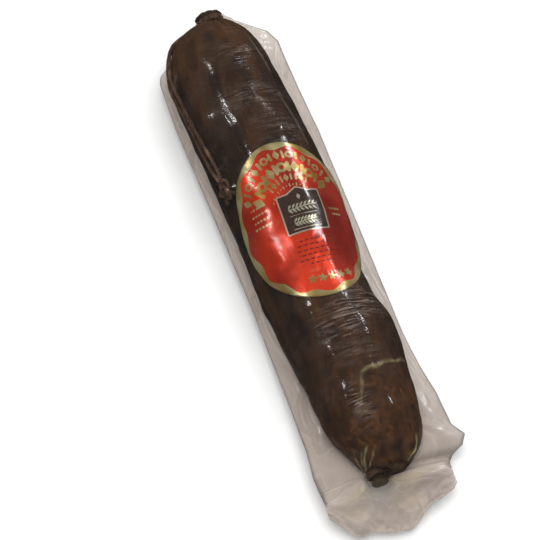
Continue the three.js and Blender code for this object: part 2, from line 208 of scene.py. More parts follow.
# ---- Node helpers ------------------------------------------------------------------------------------
class Finish:
    """A node material whose tree is written as nested calls."""

    def __init__(self, name):
        self.material = bpy.data.materials.new(name)
        self.material.use_nodes = True
        self.tree = self.material.node_tree
        self.tree.nodes.clear()
        self.output = self.tree.nodes.new("ShaderNodeOutputMaterial")

    def put(self, kind, settings=None, **inputs):
        node = self.tree.nodes.new("ShaderNode" + kind)
        for key, value in (settings or {}).items():
            setattr(node, key, value)
        for key, value in inputs.items():
            self.feed(node, key.replace("_", " "), value)
        return node

    def feed(self, node, key, value):
        socket = node.inputs[int(key)] if key.isdigit() else node.inputs[key]
        if isinstance(value, bpy.types.NodeSocket):
            self.tree.links.new(value, socket)
        elif isinstance(value, bpy.types.Node):
            self.tree.links.new(value.outputs[0], socket)
        else:
            socket.default_value = value

    def math(self, operation, a, b=None, clamp=False):
        node = self.put("Math", {"operation": operation, "use_clamp": clamp})
        self.feed(node, "0", a)
        if b is not None:
            self.feed(node, "1", b)
        return node.outputs[0]

    def between(self, value, low, high, start=0.0, end=1.0):
        node = self.put("MapRange", {"interpolation_type": "SMOOTHSTEP"})
        for key, v in zip(("0", "1", "2", "3", "4"), (value, low, high, start, end)):
            self.feed(node, key, v)
        return node.outputs[0]

    def blend(self, share, a, b, how="MIX"):
        node = self.put("Mix", {"data_type": "RGBA", "blend_type": how})
        for key, v in zip(("0", "6", "7"), (share, a, b)):
            self.feed(node, key, v)
        return node.outputs[2]

    def value(self, name):
        return self.put("Attribute", {"attribute_name": name}).outputs["Fac"]

    def objects(self, scale=(1, 1, 1), turn=(0, 0, 0)):
        node = self.put("Mapping", Scale=scale, Rotation=turn)
        self.tree.links.new(self.put("TexCoord").outputs["Object"], node.inputs["Vector"])
        return node.outputs[0]

    def flat(self, scale=(1, 1, 1), turn=(0, 0, 0)):
        node = self.put("Mapping", Scale=scale, Rotation=turn)
        self.tree.links.new(self.put("UVMap", {"uv_map": "flat"}).outputs[0], node.inputs["Vector"])
        return node.outputs[0]

    def noise(self, where, scale, detail=2.0, roughness=0.5, distortion=0.0):
        node = self.put("TexNoise", Vector=where, Scale=scale, Detail=detail, Roughness=roughness)
        node.inputs["Distortion"].default_value = distortion
        return node.outputs["Fac"]

    def bump(self, height, distance, strength=1.0, normal=None):
        node = self.put("Bump", Height=height, Distance=distance, Strength=strength)
        if normal is not None:
            self.feed(node, "Normal", normal)
        return node.outputs[0]

    def shows(self, shader):
        self.feed(self.output, "Surface", shader)
        return self.material


def shade(r, g, b):
    """A colour given as it is seen, from 0 to 255, as the shader's own linear numbers."""
    linear = [c / 12.92 if c <= 0.04045 else ((c + 0.055) / 1.055) ** 2.4 for c in (r / 255, g / 255, b / 255)]
    return (*linear, 1.0)


# ---- Finishes ----------------------------------------------------------------------------------------
def smoked_casing():
    f = Finish("smoked_casing")
    near = f.value("ends")
    cloud = f.noise(f.objects(), 55.0, 5.0, 0.6, 0.6)
    streak = f.noise(f.objects((14, 70, 70), (0, 0, 0.1)), 1.0, 6.0, 0.62, 1.2)
    veins = f.noise(f.objects(), 190.0, 4.0, 0.62, 0.9)
    dark = f.blend(f.between(cloud, 0.35, 0.68), shade(23, 14, 9), shade(43, 27, 17))
    warm = f.blend(f.between(streak, 0.42, 0.72), dark, shade(61, 36, 18))
    ends = f.blend(f.between(veins, 0.38, 0.66), shade(48, 27, 11), shade(84, 50, 18))
    share = f.math("MULTIPLY", near, f.between(cloud, 0.3, 0.62, 0.35, 1.0))
    colour = f.blend(share, warm, ends)
    pits = f.math("ABSOLUTE", f.math("SUBTRACT", veins, 0.5))
    thread = f.between(pits, 0.0, 0.035, 1.0, 0.0)
    colour = f.blend(f.math("MULTIPLY", thread, 0.16), colour, shade(28, 18, 12))
    folds = f.value("pleats")
    colour = f.blend(f.math("MULTIPLY", folds, 0.26), colour, shade(98, 68, 42))
    colour = f.blend(f.value("stub"), colour, shade(30, 21, 16))
    rough = f.between(streak, 0.3, 0.7, 0.48, 0.66)
    height = f.math("ADD", f.math("MULTIPLY", thread, -0.25), f.noise(f.objects(), 420.0, 4.0, 0.6))
    normal = f.bump(height, 0.35 * MM, 0.7)
    normal = f.bump(streak, 1.2 * MM, 0.5, normal)
    skin = f.put("BsdfPrincipled", Base_Color=colour, Roughness=rough, Normal=normal)
    skin.inputs["IOR"].default_value = 1.4
    skin.inputs["Specular IOR Level"].default_value = 0.2
    return f.shows(skin)


def smoked_twine():
    f = Finish("smoked_twine")
    fibre = f.noise(f.objects((260, 1200, 1200)), 1.0, 4.0, 0.6)
    patch = f.noise(f.objects(), 140.0, 3.0, 0.6)
    colour = f.blend(f.between(fibre, 0.3, 0.7), shade(36, 23, 15), shade(84, 58, 39))
    colour = f.blend(f.between(patch, 0.56, 0.72, 0, 0.6), colour, shade(116, 90, 68))
    normal = f.bump(fibre, 0.25 * MM, 0.8)
    yarn = f.put("BsdfPrincipled", Base_Color=colour, Roughness=0.62, Normal=normal)
    return f.shows(yarn)


def label_foil():
    """Red foil with a gold border and ornament. The label's values hold distances to what is printed."""
    f = Finish("label_foil")

    def printed(name, edge=0.06):
        return f.between(f.value(name), -edge, edge, 1.0, 0.0)

    crumple = f.noise(f.flat((70, 70, 70)), 1.0, 2.0, 0.5, 0.4)
    broad = f.noise(f.flat((28, 18, 20), (0, 0, 0.5)), 1.0, 2.0, 0.5, 0.4)
    grain = f.noise(f.flat((900, 900, 900)), 1.0, 2.0, 0.6)
    # The red runs lighter and darker with the broad crinkle noise that also bumps the foil. This is painted highlight
    # and painted shade on the crinkles, laid over the foil's own red.
    red_and_painted_crinkle_light = f.blend(f.between(broad, 0.3, 0.72), shade(122, 18, 8), shade(222, 58, 22))
    gold = f.blend(f.between(crumple, 0.35, 0.68), shade(168, 140, 72), shade(214, 202, 150))
    darker = f.blend(printed("red_marks"), red_and_painted_crinkle_light, shade(96, 18, 12))
    colour = f.blend(printed("gold_marks"), darker, gold)
    colour = f.blend(printed("plaque"), colour, shade(46, 30, 24))
    colour = f.blend(printed("silver_marks"), colour, shade(196, 190, 168))
    metal = f.math("MAXIMUM", printed("gold_marks"), printed("silver_marks"))
    ink = f.math("MAXIMUM", printed("plaque"), printed("red_marks"))
    shine = f.math("MAXIMUM", f.math("MULTIPLY", metal, 0.75), f.math("SUBTRACT", 0.5, f.math("MULTIPLY", ink, 0.45)))
    rough = f.between(grain, 0.2, 0.8, 0.28, 0.36)
    normal = f.bump(crumple, 1.4 * MM, 0.7)
    normal = f.bump(broad, 5 * MM, 0.6, normal)
    foil = f.put("BsdfPrincipled", Base_Color=colour, Metallic=shine, Roughness=rough, Normal=normal)
    foil.inputs["Specular IOR Level"].default_value = 0.2
    return f.shows(foil)


def pouch_film():
    """Clear film that turns milky where its webs lie on each other, with lines where it is creased. Its fine wrinkle
    lines are bumped and painted pale as highlights.
    """
    f = Finish("pouch_film")
    haze, fat, lines = f.value("haze"), f.value("fat"), f.value("lines")
    crinkle = f.noise(f.flat((70, 80, 80)), 1.0, 3.0, 0.5, 0.6)
    wisp = f.noise(f.flat((34, 60, 50), (0, 0, 0.35)), 1.0, 3.0, 0.5, 0.7)
    strand = f.noise(f.flat((620, 42, 50), (0, 0, 0.06)), 1.0, 3.0, 0.55, 0.3)
    ridge = f.between(f.math("ABSOLUTE", f.math("SUBTRACT", strand, 0.5)), 0.0, 0.05, 1.0, 0.0)
    wrinkle_lines_and_painted_glint = f.math("MULTIPLY", ridge, lines)
    drawn = f.noise(f.flat((26, 420, 50), (0, 0, 0.02)), 1.0, 3.0, 0.5, 0.3)
    pulled = f.math("MULTIPLY", f.between(drawn, 0.5, 0.62), f.value("pulled"))
    swirl = f.between(f.math("ABSOLUTE", f.math("SUBTRACT", wisp, 0.5)), 0.0, 0.06, 1.0, 0.0)
    milky = f.math("MULTIPLY", haze, f.between(crinkle, 0.25, 0.75, 0.94, 1.04))
    # The wrinkle lines add milkiness here, which is a painted highlight along them on top of their bump.
    milky = f.math("ADD", milky, f.math("MULTIPLY", wrinkle_lines_and_painted_glint, 0.34))
    milky = f.math("ADD", milky, f.math("MULTIPLY", f.math("MULTIPLY", swirl, haze), 0.07), True)
    pale = f.blend(f.between(wisp, 0.3, 0.7), shade(168, 154, 144), shade(186, 172, 161))
    pale = f.blend(f.math("MULTIPLY", swirl, 0.3), pale, shade(196, 186, 174))
    pale = f.blend(f.math("MULTIPLY", pulled, 0.6), pale, shade(206, 196, 186))
    tint = f.blend(fat, pale, shade(196, 184, 128))
    height = f.math("ADD", f.math("MULTIPLY", crinkle, 0.6), f.math("MULTIPLY", wrinkle_lines_and_painted_glint, 0.35))
    height = f.math("ADD", height, f.math("MULTIPLY", swirl, 0.08))
    height = f.math("ADD", height, f.math("MULTIPLY", pulled, 0.3))
    normal = f.bump(height, 0.8 * MM, 0.45)
    milk = f.put("BsdfPrincipled", Base_Color=tint, Normal=normal)
    milk.inputs["Roughness"].default_value = 0.38
    shine = f.put("BsdfGlossy", Normal=normal)
    shine.inputs["Roughness"].default_value = 0.14
    clear = f.put("MixShader")
    clear.inputs[0].default_value = 0.045
    f.feed(clear, "1", f.put("BsdfTransparent"))
    f.feed(clear, "2", shine)
    film = f.put("MixShader")
    f.feed(film, "0", milky)
    f.feed(film, "1", clear)
    f.feed(film, "2", milk)
    return f.shows(film)


# ---- Camera, floor and lights ------------------------------------------------------------------------
AZIMUTH, ELEVATION, DISTANCE = 70.65, 65.0, 1.4
LOOK_AT = Vector((1.9, -22.8, 20.0)) * MM


def back_vector(azimuth, elevation):
    a, e = math.radians(azimuth), math.radians(elevation)
    return Vector((math.sin(a) * math.cos(e), -math.cos(a) * math.cos(e), math.sin(e)))


def add_camera():
    camera = bpy.data.objects.new("camera", bpy.data.cameras.new("camera"))
    bpy.context.scene.collection.objects.link(camera)
    back = back_vector(AZIMUTH, ELEVATION)
    camera.location = LOOK_AT + back * DISTANCE
    camera.rotation_mode = "QUATERNION"
    camera.rotation_quaternion = (-back).to_track_quat("-Z", "Y")
    camera.data.lens, camera.data.sensor_width = 183.3, 36
    camera.data.clip_start, camera.data.clip_end = 0.05, 50
    bpy.context.scene.camera = camera


def add_floor():
    bm = bmesh.new()
    bmesh.ops.create_grid(bm, x_segments=1, y_segments=1, size=6)
    bmesh.ops.translate(bm, verts=bm.verts, vec=(0, 0, TABLE_Z - 0.1 * MM))
    f = Finish("pale_floor")
    speckle = f.noise(f.objects(), 30.0, 2.0)
    colour = f.blend(f.between(speckle, 0.2, 0.8), (0.86, 0.86, 0.86, 1), (0.88, 0.88, 0.88, 1))
    floor = bpy.data.objects.new("floor", to_mesh(bm, "floor"))
    floor.data.materials.append(f.shows(f.put("BsdfPrincipled", Base_Color=colour, Roughness=0.9)))
    bpy.context.scene.collection.objects.link(floor)
    floor.visible_glossy = False


def add_light(name, direction, distance, size, power, colour=(1, 1, 1), glints=True):
    lamp = bpy.data.lights.new(name, "AREA")
    lamp.shape, lamp.size, lamp.energy, lamp.color = "DISK", size, power, colour
    light = bpy.data.objects.new(name, lamp)
    bpy.context.scene.collection.objects.link(light)
    light.location = Vector(direction).normalized() * distance
    light.rotation_mode = "QUATERNION"
    light.rotation_quaternion = Vector(direction).to_track_quat("Z", "Y")
    light.visible_glossy = glints


def add_world():
    world = bpy.data.worlds.new("studio")
    world.use_nodes = True
    nodes = world.node_tree.nodes
    background = next(n for n in nodes if n.type == "BACKGROUND")
    background.inputs["Color"].default_value = (1.0, 0.99, 0.98, 1)
    strength = nodes.new("ShaderNodeMapRange")  # dimmer where it is mirrored, so that dark gloss stays dark
    strength.inputs["To Min"].default_value, strength.inputs["To Max"].default_value = 0.5, 0.05
    links = world.node_tree.links
    links.new(nodes.new("ShaderNodeLightPath").outputs["Is Glossy Ray"], strength.inputs["Value"])
    links.new(strength.outputs[0], background.inputs["Strength"])
    bpy.context.scene.world = world
    bpy.context.scene.view_settings.view_transform = "Standard"


add_camera()
add_floor()
add_world()
add_light("overhead_softbox", (-0.1, 0.1, 1), 1.3, 1.4, 18, glints=False)
add_light("back_left_softbox", (-0.45, -0.5, 0.78), 1.2, 0.14, 1.1, (1.0, 0.98, 0.95))
add_light("back_right_softbox", (-0.42, 0.7, 0.6), 1.2, 0.14, 1.7, (0.93, 0.97, 1.0))


# ---- The sausage -------------------------------------------------------------------------------------
HEAD_PLEATS, TAIL_PLEATS = 13, 17  # pleats round each end
TAIL_KNOB_Y, TAIL_KNOB_Z = -9.96 * MM, 18 * MM
ROUND_MM = 27  # millimetres round the casing to a radian


def pleating(x, degrees):
    """How gathered the casing is at a place, and the height of its pleats there."""
    gathered = max(1 - ease(2 * MM, 46 * MM, x), 0.6 * ease(BODY - 4 * MM, BODY, x))
    count = HEAD_PLEATS if x < BODY / 2 else TAIL_PLEATS
    wave = noise.noise(Vector((degrees / 360 * count * 2, x * 9, 3.1)))
    return gathered, (1 - abs(wave) * 2.2) * gathered


def casing_height(point, x, degrees):
    """How far the casing stands out from the smooth body at a point."""
    stretched = Vector((point.x * 0.7, point.y, point.z))
    lumps = drift(stretched, 17 * MM, 2.0) * 0.8 + drift(stretched, 7.5 * MM, 5.0) * 0.65
    wrinkles = drift(Vector((point.x, point.y * 0.35, point.z * 0.35)), 3.2 * MM, 9.0) * 0.12
    gathered, pleat = pleating(x, degrees)
    calm = 1 - 0.75 * gathered
    on_stub = 1 - ease(-3 * MM, 1 * MM, x)
    stub = (drift(point, 5 * MM, 13.0) * 1.3 + drift(point, 2.6 * MM, 15.0) * 0.5) * on_stub
    return (lumps * calm + wrinkles + pleat * 0.6 - 0.25 * gathered + bulge(x, degrees) + stub) * MM


# Bulges and hollows of the filling: a place along the body in millimetres, an angle round it and a height
# in millimetres.
BULGES = (
    (37, 84, 0.9), (60, 85, 0.9), (62, 138, 1.0), (84, 66, 0.8), (88, 106, 1.2), (72, 118, -1.0), (112, 128, 0.9),
    (186, 115, 1.3), (188, 74, 0.9), (206, 69, 1.4), (212, 114, 1.8), (223, 116, -0.8), (232, 120, 1.9),
    (244, 109, 1.7), (246, 66, 1.7), (228, 48, 1.0), (160, 140, 0.8), (150, 30, 0.8), (40, 120, -0.9), (30, 50, 0.8),
)


def bulge(x, degrees):
    """Height in millimetres of the bulges at a place."""
    height = 0.0
    for i, (along_mm, round_deg, high_mm) in enumerate(BULGES):
        reach = 5.6 + 1.4 * math.sin(i * 2.4)
        gap = math.hypot(x / MM - along_mm, math.radians(degrees - round_deg) * ROUND_MM) / reach
        height += high_mm * math.exp(-gap * gap)
    return height


def blunt(point, x):
    """How far a point of the tail's end moves outwards, so that the filling bulges over one side of the
    knob and the knob stands clear on the other."""
    off_knob = math.hypot(point.y - TAIL_KNOB_Y, point.z - TAIL_KNOB_Z)
    share = ease(5 * MM, 10 * MM, off_knob) * (1 - ease(14 * MM, 26 * MM, off_knob))
    share *= 1.15 * ease(-6 * MM, 8 * MM, point.y - TAIL_KNOB_Y)
    knob = 2.8 * MM * ease(BODY + 1 * MM, BODY + 5 * MM, x)
    return 3.2 * MM * share * ease(BODY - 16 * MM, BODY - 2 * MM, x) + knob


def sausage_mesh():
    bm = bmesh.new()
    bm.from_mesh(frame["nodes"]["sausage"].data)
    bmesh.ops.remove_doubles(bm, verts=bm.verts, dist=0.01 * MM)
    bmesh.ops.join_triangles(
        bm, faces=bm.faces, angle_face_threshold=math.radians(40), angle_shape_threshold=math.radians(180),
    )
    rough = bpy.data.objects.new("rough_sausage", to_mesh(bm, "rough_sausage"))
    rounding = rough.modifiers.new("round", "SUBSURF")
    rounding.levels = rounding.render_levels = 3
    mesh = finished(rough)
    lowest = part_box("sausage")[0].z
    near_ends, pleats, stubs, moved = [], [], [], []
    places = [v.co.copy() for v in mesh.vertices]
    normals = [v.normal.copy() for v in mesh.vertices]
    for point, normal in zip(places, normals):
        x = point.x - NECK_X
        y, z = axis(x)
        turn = math.atan2(point.z - z, point.y - y)
        degrees = math.degrees(turn)
        if 0.3 * MM < x < BODY - 0.3 * MM:
            radius = body_radius(x, turn)
            point = Vector((point.x, y + radius * math.cos(turn), z + radius * math.sin(turn)))
        by_head = 1 - ease(0.02 * BODY, 0.2 * BODY, x)
        near_ends.append(max(ease(0.72 * BODY, 0.99 * BODY, x), 0.22 * by_head))
        pleats.append(max(pleating(x, degrees)[1], 0))
        head_stub, tail_stub = 1 - ease(-2 * MM, 3 * MM, x), ease(BODY - 2 * MM, BODY + 1 * MM, x)
        stubs.append(max(0.5 * head_stub, 0.85 * tail_stub))
        point = point + Vector((blunt(point, x), 0, 0))
        resting = 1 - ease(lowest + 0.3 * MM, lowest + 3 * MM, point.z)
        point = point + normal * casing_height(point, x, degrees) * (1 - resting)
        moved += (point.x, point.y, max(point.z, lowest))
    mesh.vertices.foreach_set("co", moved)
    set_values(mesh, "ends", near_ends)
    set_values(mesh, "pleats", pleats)
    set_values(mesh, "stub", stubs)
    return mesh


casing = sausage_mesh()
casing_tree = tree_of(casing)
add_piece("sausage_body", casing, smoked_casing(), "casing", "sausage")


# ---- The label ---------------------------------------------------------------------------------------
LABEL_MIDDLE, LABEL_TURN, LABEL_ROUND = 0.514 * BODY, 82.0, 26.5 * MM
LABEL_LONG, LABEL_WIDE = 44.5, 35.0  # half sizes in millimetres
LABEL_GAP, LABEL_SPRING = 0.45 * MM, 2.2 * MM  # off the casing, and how far its +Y edge springs up
LABEL_WALL = 0.18 * MM
PLAQUE_U = 2.0  # the middle of the plaque and what is on it
# Folds below the plaque: a place across the label, how much it slants, and a half width, in millimetres.
LABEL_FOLDS = ((3.0, 0.28, 1.5), (-9.0, -0.2, 2.2), (9.5, 0.1, 1.8))
# Rows of ornament: half length and half width of the arc, its first and last degrees, how many, size, shapes.
ORNAMENTS = (
    (37.2, 27.8, -60, 56, 17, 5.2, ("lozenge", "bar", "ring", "bar")),
    (29.8, 21.6, -58, 54, 13, 6.9, ("lozenge", "bar", "ring", "bar")),
    (23.6, 18.4, -34, 30, 9, 4.0, ("bar", "lozenge", "bar")),
    (19.2, 14.6, -50, 48, 15, 2.5, ("dot", "bar")),
)
# Short notched lines beside the plaque: middle across, middle along, half length.
SIDE_LINES = (
    (-21, 14, 3.4), (-20.5, 10.4, 4.6), (-20.2, 6.8, 4.2), (-20.4, 3.2, 4.8), (20.4, 3.6, 4.4), (20.8, 0.4, 3.2),
)
# Lines of dashes under the plaque: middle along, half length, shift.
DASHED_LINES = (
    (-12.4, 9, 0.0), (-15.0, 12, 0.4), (-17.6, 12.4, -0.3), (-20.2, 11.6, 0.2), (-22.8, 12.2, 0.0), (-25.4, 8, 0.5),
)


def box_distance(u, v, middle_u, middle_v, half_u, half_v, turn=0.0, rounding=0.0):
    """Distance outside a turned box, less than 0 inside it."""
    c, s = math.cos(turn), math.sin(turn)
    du, dv = u - middle_u, v - middle_v
    a = np.abs(du * c + dv * s) - half_u + rounding
    b = np.abs(dv * c - du * s) - half_v + rounding
    return np.hypot(np.maximum(a, 0), np.maximum(b, 0)) + np.minimum(np.maximum(a, b), 0) - rounding


def lozenge_distance(u, v, middle_u, middle_v, half_u, half_v, turn=0.0):
    """Distance outside a turned lozenge, less than 0 inside it."""
    c, s = math.cos(turn), math.sin(turn)
    du, dv = u - middle_u, v - middle_v
    a, b = np.abs(du * c + dv * s) / half_u, np.abs(dv * c - du * s) / half_v
    return (a + b - 1) * half_u * half_v / math.hypot(half_u, half_v)


def ring_distance(u, v, middle_u, middle_v, radius, half_line):
    """Distance from a ring's line, less than 0 on it."""
    return np.abs(np.hypot(u - middle_u, v - middle_v) - radius) - half_line


def star_distance(u, v, middle_u, middle_v, radius):
    """Distance outside a small star with five soft points, less than 0 inside it."""
    du, dv = u - middle_u, v - middle_v
    spread = np.arctan2(dv, du)
    return np.hypot(du, dv) - radius * (0.68 + 0.32 * np.cos(5 * spread))


def nearest(*distances):
    return np.minimum.reduce(distances)


def arc_ornament(u, v, long, wide, start, end, count, size, kinds):
    """Small shapes set along an oval arc round the label's middle, turned to face it."""
    marks = []
    for i in range(count):
        phi = math.radians(start + (end - start) * i / (count - 1))
        mu, mv = wide * math.sin(phi), long * math.cos(phi)
        turn = math.atan2(-mu, mv)
        kind = kinds[i % len(kinds)]
        if kind == "lozenge":
            marks.append(lozenge_distance(u, v, mu, mv, size * 0.36, size * 0.56, turn))
        elif kind == "bar":
            marks.append(box_distance(u, v, mu, mv, size * 0.13, size * 0.46, turn, size * 0.1))
        elif kind == "ring":
            marks.append(ring_distance(u, v, mu, mv, size * 0.3, size * 0.11))
        else:
            marks.append(np.hypot(u - mu, v - mv) - size * 0.17)
    return nearest(*marks)


def label_print(u, v):
    """Distances in millimetres from places on the flat label to what is printed there, by finish.
    u runs across the label towards +Y, and v up it towards the head."""
    phi = np.arctan2(u / LABEL_WIDE, v / LABEL_LONG)
    out = np.hypot(u / LABEL_WIDE, v / LABEL_LONG)
    from_edge = (1 - out) * (LABEL_WIDE * LABEL_LONG) / np.hypot(
        LABEL_LONG * np.sin(phi), LABEL_WIDE * np.cos(phi),
    )
    border = from_edge - 3.1 - 1.0 * np.cos(13 * phi)
    rows = [arc_ornament(u, v, *ornament) for ornament in ORNAMENTS]
    notches = np.abs(np.mod(u + 0.45, 1.9) - 0.95) - 0.62
    side_lines = np.maximum(
        nearest(*(box_distance(u, v, mu, mv, half, 0.62, 0.0, 0.5) for mu, mv, half in SIDE_LINES)), notches,
    )
    stars = nearest(*(star_distance(u, v, 4 + 5.2 * k, -34.6 + 0.3 * k * k, 2.5) for k in range(-2, 3)))
    plaque = nearest(
        box_distance(u, v, PLAQUE_U, 3.6, 11.0, 10.6),
        lozenge_distance(u, v, PLAQUE_U, 14.4, 5.2, 2.6),
    )
    outline = np.maximum(plaque - 0.75, -plaque)
    stems = [box_distance(u, v, PLAQUE_U, mv, half, 0.28, 0.06) for mv, half in ((6.2, 7.6), (-1.6, 6.4))]
    leaves = [
        lozenge_distance(u, v, PLAQUE_U + k * half / 3.6, mv + side * 1.35, 0.62, 1.75, -0.75 * side)
        for mv, half in ((6.2, 7.6), (-1.6, 6.4)) for k in range(-3, 4) for side in (-1, 1)
    ]
    rules = [box_distance(u, v, PLAQUE_U, mv, 7.6, half) for mv, half in ((-5.4, 0.24), (2.3, 0.16))]
    crest = lozenge_distance(u, v, PLAQUE_U, 12.0, 1.1, 1.7)
    on_plaque = np.maximum(nearest(*stems, *leaves, *rules, crest), plaque + 1.2)
    dashes = nearest(*(
        np.maximum(
            box_distance(u, v, 3.5 + shift, mv, half, 0.42),
            np.abs(np.mod(u + shift * 3, 3.1) - 1.55) - 1.2,
        )
        for mv, half, shift in DASHED_LINES
    ))
    return {
        "gold_marks": nearest(border, *rows, side_lines, stars),
        "plaque": plaque,
        "silver_marks": nearest(outline, on_plaque),
        "red_marks": dashes,
    }


def label_place(u, v):
    """Where a place on the flat label, in millimetres, lies on the sausage."""
    x = LABEL_MIDDLE - v * MM
    degrees = LABEL_TURN - math.degrees(u * MM / LABEL_ROUND)
    edge = LABEL_TURN - math.degrees(LABEL_WIDE * MM / LABEL_ROUND)
    spring = LABEL_SPRING * (1 - ease(edge, edge + 38, degrees))
    ripple = noise.noise(Vector((u / 11, v / 11, 4))) * 0.26 + noise.noise(Vector((u / 4.5, v / 5.5, 8))) * 0.1
    for start_u, slant, wide in LABEL_FOLDS:
        off = (u - start_u - slant * (v + 8)) / wide
        ripple += 0.3 * math.exp(-off * off) * (1 - ease(-16, -6, v)) * ease(-38, -28, v)
    return on_surface(smooth_tree, x, degrees, LABEL_GAP + spring + (ripple + 0.1) * MM)


def label_mesh():
    bm = bmesh.new()
    rings, spokes = 72, 216
    spoke = [bm.verts.new((0, i / rings, 0)) for i in range(rings + 1)]
    edges = [bm.edges.new(pair) for pair in zip(spoke, spoke[1:])]
    bmesh.ops.spin(
        bm, geom=spoke + edges, cent=(0, 0, 0), axis=(0, 0, -1), angle=2 * math.pi, steps=spokes, use_merge=True,
    )
    bmesh.ops.remove_doubles(bm, verts=bm.verts, dist=1e-5)
    # Merging leaves the vertices and faces in an order that differs each run, so they are put in a fixed one.
    place_order = Vector((1000, 1, 0))
    bm.verts.sort(key=lambda vert: vert.co.dot(place_order))
    bm.faces.sort(key=lambda face: face.calc_center_median().dot(place_order))
    bmesh.ops.recalc_face_normals(bm, faces=bm.faces)
    if sum(face.normal.z for face in bm.faces) < 0:
        bmesh.ops.reverse_faces(bm, faces=bm.faces)
    layer = bm.loops.layers.uv.new("flat")
    for v in bm.verts:
        v.co.x, v.co.y = v.co.x * LABEL_WIDE, v.co.y * LABEL_LONG
    for face in bm.faces:
        for loop in face.loops:
            loop[layer].uv = (loop.vert.co.x * MM, loop.vert.co.y * MM)
    mesh = to_mesh(bm, "label")
    u = np.array([v.co.x for v in mesh.vertices])
    v = np.array([v.co.y for v in mesh.vertices])
    for name, distances in label_print(u, v).items():
        set_values(mesh, name, distances)
    for vert, a, b in zip(mesh.vertices, u, v):
        vert.co = label_place(a, b)
    label = bpy.data.objects.new("flat_label", mesh)
    wall = label.modifiers.new("wall", "SOLIDIFY")
    wall.thickness, wall.offset = LABEL_WALL, 1.0
    return finished(label)


def smoothed(mesh, passes):
    """A copy of a mesh with its small lumps smoothed away, as a stiff piece that lies on it follows it."""
    bm = bmesh.new()
    bm.from_mesh(mesh)
    for _ in range(passes):
        bmesh.ops.smooth_vert(bm, verts=bm.verts, factor=0.5, use_axis_x=True, use_axis_y=True, use_axis_z=True)
    return to_mesh(bm, "smooth_casing")


smooth_tree = tree_of(smoothed(casing, 12))
label = label_mesh()
add_piece("foil_label", label, label_foil(), "foil_label", "label")


# ---- The strings -------------------------------------------------------------------------------------
TWINE = 1.15 * MM  # radius of the twine over its plies
PLIES, PLY_PITCH = 3, 6.5 * MM
HEAD_TURNS_RADIUS, TAIL_TURNS_RADIUS, TURN_PITCH = 6.3 * MM, 4.3 * MM, 1.3 * MM
# Where the strands and the knot lie: a share of the body's length and an angle round it.
STRANDS = (
    ((0.008, 168), (0.02, 169), (0.036, 168), (0.065, 166), (0.12, 162), (0.17, 160), (0.24, 157), (0.33, 151)),
    ((0.008, 184), (0.02, 184), (0.036, 181), (0.065, 177), (0.12, 171), (0.17, 167), (0.24, 163), (0.33, 158)),
)
KNOT = (0.39, 151)


def spaced(points, step):
    """Points at even steps along a smooth line through the given points."""
    line_points = [Vector(p) for p in points]
    ends = [2 * line_points[0] - line_points[1], *line_points, 2 * line_points[-1] - line_points[-2]]
    fine = []
    for a, b, c, d in zip(ends, ends[1:], ends[2:], ends[3:]):
        for i in range(24):
            t = i / 24
            square, cube = (2 * a - 5 * b + 4 * c - d) * t * t, (3 * b - a - 3 * c + d) * t ** 3
            fine.append(0.5 * (2 * b + (c - a) * t + square + cube))
    fine.append(line_points[-1])
    lengths = np.concatenate([[0], np.cumsum([(q - p).length for p, q in zip(fine, fine[1:])])])
    places = np.linspace(0, lengths[-1], max(int(lengths[-1] / step), 2) + 1)
    table = np.array([tuple(p) for p in fine])
    return [Vector(row) for row in np.stack([np.interp(places, lengths, table[:, k]) for k in range(3)], 1)]


def twine(points, radius=TWINE):
    """Meshes of the plies that twist together along a line."""
    route = spaced(points, 0.5 * MM)
    ply = radius * 0.54
    normal = (route[1] - route[0]).orthogonal().normalized()
    sides = [[] for _ in range(PLIES)]
    travelled = 0.0
    for i, p in enumerate(route):
        before, after = route[max(i - 1, 0)], route[min(i + 1, len(route) - 1)]
        tangent = (after - before).normalized()
        normal = (normal - tangent * normal.dot(tangent)).normalized()
        side = tangent.cross(normal)
        travelled += (p - before).length
        for k in range(PLIES):
            turn = 2 * math.pi * (travelled / PLY_PITCH + k / PLIES)
            slub = 1 + 0.22 * drift(p, 3.5 * MM, k + 1.0)
            sides[k].append(p + (normal * math.cos(turn) + side * math.sin(turn)) * (radius - ply) * slub)
    return [tube(line_points, ply) for line_points in sides]


def tube(points, radius):
    """The mesh of one ply: a round rod along the points, closed at its ends."""
    curve = bpy.data.curves.new("ply", "CURVE")
    curve.dimensions, curve.bevel_depth, curve.bevel_resolution, curve.use_fill_caps = "3D", radius, 1, True
    spline = curve.splines.new("POLY")
    spline.points.add(len(points) - 1)
    for place, p in zip(spline.points, points):
        place.co = (*p, 1)
    return finished(bpy.data.objects.new("ply", curve))


def merged(meshes, name):
    """One mesh of several, which go."""
    bm = bmesh.new()
    for mesh in meshes:
        bm.from_mesh(mesh)
        bpy.data.meshes.remove(mesh)
    bmesh.ops.recalc_face_normals(bm, faces=bm.faces)
    return to_mesh(bm, name)


def turns_round(x, radius, count, pitch):
    """A helix of twine round a neck."""
    y, z = axis(x)
    steps = 24 * count
    return [
        Vector((NECK_X + x + (i / steps - 0.5) * count * pitch, y + radius * math.cos(i * math.tau / 24),
                z + radius * 0.9 * math.sin(i * math.tau / 24)))
        for i in range(steps + 1)
    ]


def overhand_knot(middle, out, size, thick):
    """The line of an overhand knot, pressed flat against the casing."""
    along_body = Vector((1, 0, 0))
    across = out.cross(along_body).normalized()
    points = []
    for i in range(49):
        t = i / 48 * math.tau
        a = math.sin(t) + 2 * math.sin(2 * t)
        b = math.cos(t) - 2 * math.cos(2 * t)
        points.append(middle + along_body * a * size / 3 + across * b * size * 0.8 / 3 - out * math.sin(3 * t) * thick)
    return points


